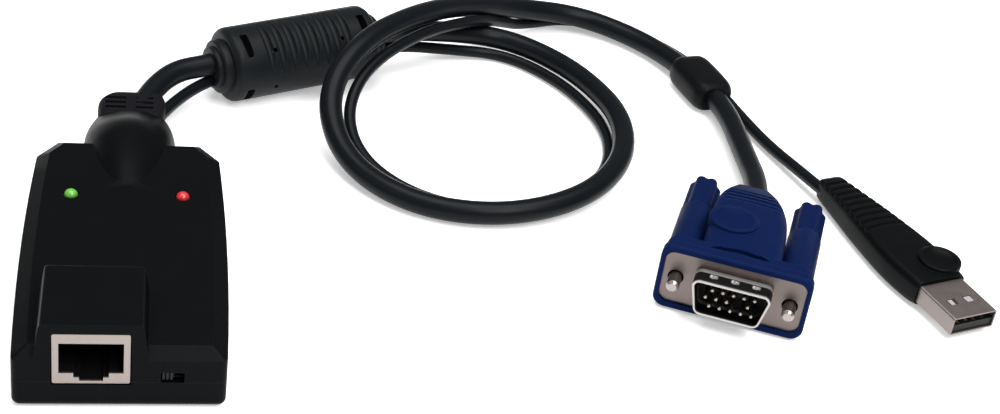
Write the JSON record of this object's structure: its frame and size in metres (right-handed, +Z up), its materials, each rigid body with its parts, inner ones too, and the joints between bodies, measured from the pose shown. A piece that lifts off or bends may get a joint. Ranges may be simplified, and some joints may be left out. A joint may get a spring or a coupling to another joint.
{
  "type": "kvm dongle",
  "caption": "Keyboard-video-mouse interface dongle: network jack in a black housing, with a video plug and a USB plug on cables through a shared ferrite choke.",
  "frame": {"origin": "centre of the housing's footprint, on the surface that it stands on", "axes": "+Y from the jack's face towards the cable end of the housing, +Z up, +X to the right seen from the jack's side"},
  "size_m": [0.2087, 0.1652, 0.0216],
  "materials": {
    "housing_plastic": "fine spark-textured black moulding",
    "relief_rubber": "satin black boot",
    "board": "green solder mask",
    "chip_epoxy": "moulded epoxy",
    "header_nylon": "natural nylon",
    "socket_steel": "plated sheet",
    "socket_plastic": "black moulding",
    "gold_contact": "gold plated",
    "tinned_lead": "tinned",
    "green_lens": "diffused green lens",
    "red_lens": "diffused red lens",
    "switch_plastic": "black moulding",
    "video_jacket": "satin blue-black jacket",
    "usb_jacket": "satin blue-black jacket",
    "choke_plastic": "satin black moulding",
    "ferrite": "grey-black sintered core",
    "junction_plastic": "satin black moulding",
    "hood_blue": "fine-grained royal blue moulding",
    "plug_shell": "nickel plated",
    "plug_insulator": "black moulding",
    "screw_steel": "nickel plated",
    "usb_plastic": "dark moulding",
    "usb_grip": "satin black moulding"
  },
  "bodies": {
    "dongle": {"upper_cover": "housing_plastic", "lower_cover": "housing_plastic", "strain_relief": "relief_rubber", "main_board": "board", "controller_chip": "chip_epoxy", "video_chip": "chip_epoxy", "signal_transformer": "chip_epoxy", "cable_header": "header_nylon", "jack_shield": "socket_steel", "jack_insert": "socket_plastic", "link_led": "green_lens", "power_led": "red_lens", "lamp_leads": "tinned_lead", "mode_switch_body": "switch_plastic", "video_cable": "video_jacket", "usb_cable": "usb_jacket", "choke_moulding": "choke_plastic", "ferrite_core": "ferrite", "cable_junction": "junction_plastic", "vga_hood": "hood_blue", "vga_shell": "plug_shell", "vga_insulator": "plug_insulator", "usb_overmould": "usb_grip", "usb_shell": "plug_shell", "usb_insulator": "usb_plastic", "jack_contact_1": "gold_contact", "jack_contact_2": "gold_contact", "jack_contact_3": "gold_contact", "jack_contact_4": "gold_contact", "jack_contact_5": "gold_contact", "jack_contact_6": "gold_contact", "jack_contact_7": "gold_contact", "jack_contact_8": "gold_contact", "vga_pin_1": "gold_contact", "vga_pin_2": "gold_contact", "vga_pin_3": "gold_contact", "vga_pin_4": "gold_contact", "vga_pin_5": "gold_contact", "vga_pin_6": "gold_contact", "vga_pin_7": "gold_contact", "vga_pin_8": "gold_contact", "vga_pin_9": "gold_contact", "vga_pin_10": "gold_contact", "vga_pin_11": "gold_contact", "vga_pin_12": "gold_contact", "vga_pin_13": "gold_contact", "vga_pin_14": "gold_contact", "usb_contact_1": "gold_contact", "usb_contact_2": "gold_contact", "usb_contact_3": "gold_contact", "usb_contact_4": "gold_contact"},
    "left_screw": {"left_thumb_knob": "hood_blue", "left_thumb_stud": "screw_steel"},
    "right_screw": {"right_thumb_knob": "hood_blue", "right_thumb_stud": "screw_steel"},
    "switch_slider": {"mode_switch_slider": "switch_plastic"}
  },
  "joints": [
    {"name": "left_screw_turn", "type": "hinge", "parent": "dongle", "child": "left_screw", "pos_m": [0.11604, -0.01162, 0.0081], "axis": [-0.3983, -0.916, 0.0488], "continuous": true},
    {"name": "right_screw_turn", "type": "hinge", "parent": "dongle", "child": "right_screw", "pos_m": [0.13896, -0.02158, 0.0081], "axis": [-0.3983, -0.916, 0.0488], "continuous": true},
    {"name": "mode_switch_slide", "type": "slide", "parent": "dongle", "child": "switch_slider", "axis": [1, 0, 0], "range_m": [0, 0.0017]}
  ]
}
